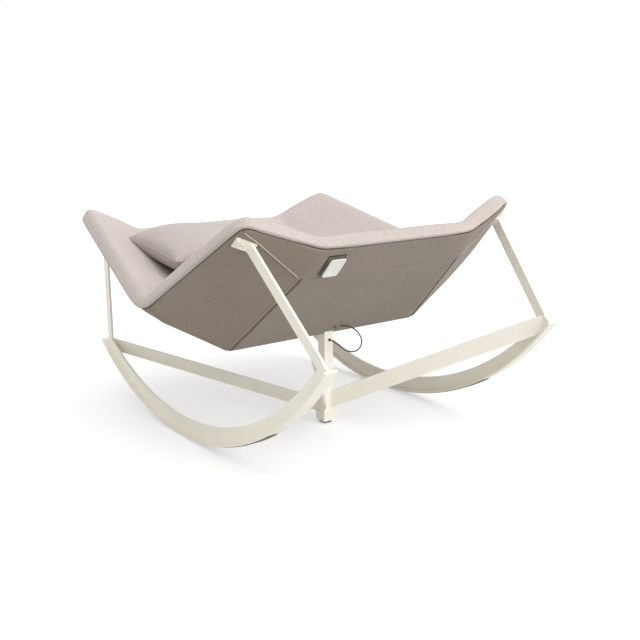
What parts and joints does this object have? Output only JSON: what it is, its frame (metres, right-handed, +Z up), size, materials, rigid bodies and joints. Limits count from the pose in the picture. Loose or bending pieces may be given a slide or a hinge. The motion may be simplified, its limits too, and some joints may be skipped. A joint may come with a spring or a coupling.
{
  "type": "rocking chaise lounge",
  "caption": "Upholstered faceted lounge shell with a loose cushion on flat-bar rockers, with a cable-released parking foot under a centre post.",
  "frame": {"origin": "centre of the parking foot's bottom face on the floor", "axes": "+Z up, +Y from the front of the lounge, where the lever is, to the back, +X to the right seen from the front"},
  "size_m": [1.5012, 1.5453, 0.8687],
  "materials": {
    "frame_paint": "cream powder coat, fine satin",
    "lever_paint": "cream powder coat, fine satin",
    "screw_paint": "cream coated button heads",
    "zinc_steel": "zinc plated",
    "insert_brass": "turned",
    "liner_rubber": "matt",
    "foot_rubber": "matt",
    "cable_rubber": "satin sheath",
    "black_plastic": "fine texture",
    "shell_plastic": "moulded, unseen",
    "under_fabric": "woven wool melange, warm grey",
    "seat_fabric": "woven wool melange, warm grey",
    "pillow_fabric": "woven wool melange, warm grey",
    "zip_tape": "dark zip tape"
  },
  "bodies": {
    "chair": {"left_rocker_tread": "frame_paint", "right_rocker_tread": "frame_paint", "left_rocker_web": "frame_paint", "right_rocker_web": "frame_paint", "left_tread_liner": "liner_rubber", "right_tread_liner": "liner_rubber", "front_left_leg": "frame_paint", "front_right_leg": "frame_paint", "back_left_leg": "frame_paint", "back_right_leg": "frame_paint", "front_left_arm": "frame_paint", "front_right_arm": "frame_paint", "back_left_arm": "frame_paint", "back_right_arm": "frame_paint", "centre_post": "frame_paint", "foot_guide_block": "frame_paint", "shell_saddle": "zinc_steel", "leg_screws": "screw_paint", "threaded_inserts": "insert_brass", "spring_stop": "zinc_steel", "return_spring": "zinc_steel", "cable_elbow": "black_plastic", "cable_grommet": "cable_rubber", "cable_outlet": "black_plastic", "brake_cable": "cable_rubber", "inner_cable": "cable_rubber", "lever_housing": "black_plastic", "lever_pin": "zinc_steel", "shell_core": "shell_plastic", "upper_front_cover": "under_fabric", "front_cover": "under_fabric", "seat_cover": "under_fabric", "back_cover": "under_fabric", "right_front_cover": "under_fabric", "right_back_cover": "under_fabric", "left_front_cover": "under_fabric", "left_back_cover": "under_fabric", "upper_front_pad": "seat_fabric", "front_pad": "seat_fabric", "seat_pad": "seat_fabric", "back_pad": "seat_fabric", "right_front_pad": "seat_fabric", "right_back_pad": "seat_fabric", "left_front_pad": "seat_fabric", "left_back_pad": "seat_fabric", "rim_welt": "seat_fabric", "zip_tapes": "zip_tape"},
    "lever": {"brake_lever": "lever_paint"},
    "parking_foot": {"brake_plunger": "zinc_steel", "brake_pad": "foot_rubber", "brake_wire": "zinc_steel"},
    "cushion": {"pillow": "pillow_fabric"}
  },
  "joints": [
    {"name": "lever_pull", "type": "hinge", "parent": "chair", "child": "lever", "pos_m": [-0.26, -0.34037, 0.67586], "axis": [1, 0, 0], "range_deg": [0, 30], "stiffness_Nm_per_rad": 1.2},
    {"name": "foot_lift", "type": "slide", "parent": "chair", "child": "parking_foot", "axis": [0, 0, 1], "range_m": [0, 0.012], "deforming": ["return_spring"]},
    {"name": "cushion_lift", "type": "slide", "parent": "chair", "child": "cushion", "axis": [0, 0, 1], "range_m": [0, 0.25]}
  ],
  "couplings": [
    {"joint": "foot_lift", "follows": "lever_pull", "m_per_rad": 0.022918}
  ]
}
